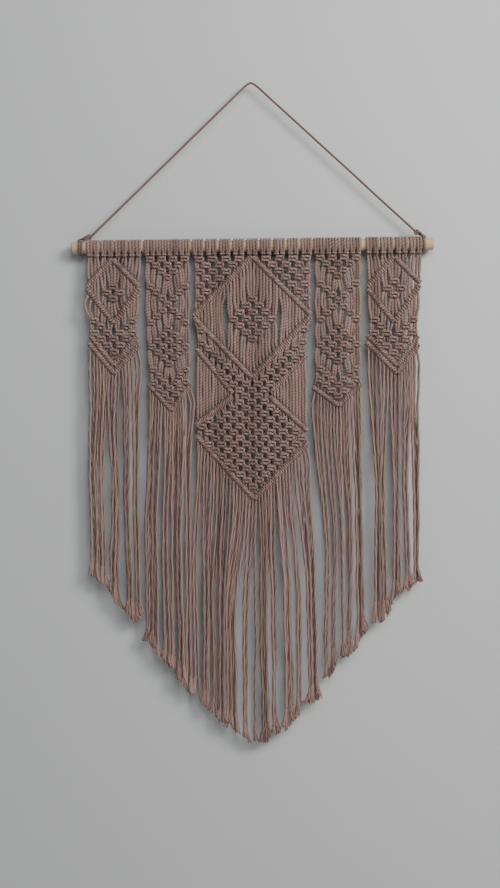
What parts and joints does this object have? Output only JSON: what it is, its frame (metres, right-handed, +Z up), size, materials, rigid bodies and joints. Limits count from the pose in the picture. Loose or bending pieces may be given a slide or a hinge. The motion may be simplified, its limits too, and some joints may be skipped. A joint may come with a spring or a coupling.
{
  "type": "macrame wall hanging on a wooden dowel",
  "caption": "Knotted cotton wall hanging of five panels with diamond ridges and a long V-cut fringe, on a wooden dowel hung by a cord.",
  "frame": {"origin": "under the bend of the hanging cord, where a nail or hook in the wall carries it", "axes": "+Z up, +X along the dowel to the viewer's right, +Y towards the wall, so the hanging is seen from -Y"},
  "size_m": [0.6, 0.0294, 1.0943],
  "materials": {
    "wood": "bare, lightly sanded pale wood",
    "cotton": "matt twisted cotton cord, dusty mauve brown"
  },
  "bodies": {
    "root": {"dowel": "wood", "lark_heads_01": "cotton", "lark_heads_02": "cotton", "lark_heads_03": "cotton", "lark_heads_04": "cotton", "lark_heads_05": "cotton", "lark_heads_06": "cotton", "lark_heads_07": "cotton", "lark_heads_08": "cotton", "lark_heads_09": "cotton", "lark_heads_10": "cotton", "lark_heads_11": "cotton", "lark_heads_12": "cotton", "lark_heads_13": "cotton", "lark_heads_14": "cotton", "lark_heads_15": "cotton", "lark_heads_16": "cotton", "lark_heads_17": "cotton", "lark_heads_18": "cotton", "lark_heads_19": "cotton", "lark_heads_20": "cotton", "lark_heads_21": "cotton", "lark_heads_22": "cotton", "lark_heads_23": "cotton", "lark_heads_24": "cotton", "lark_heads_25": "cotton", "panel_1": "cotton", "panel_2": "cotton", "panel_3": "cotton", "panel_4": "cotton", "panel_5": "cotton", "fringe_1": "cotton", "fringe_2": "cotton", "fringe_3": "cotton", "fringe_4": "cotton", "fringe_5": "cotton", "hitch_left": "cotton", "hitch_right": "cotton", "hanging_cord": "cotton"}
  },
  "joints": []
}
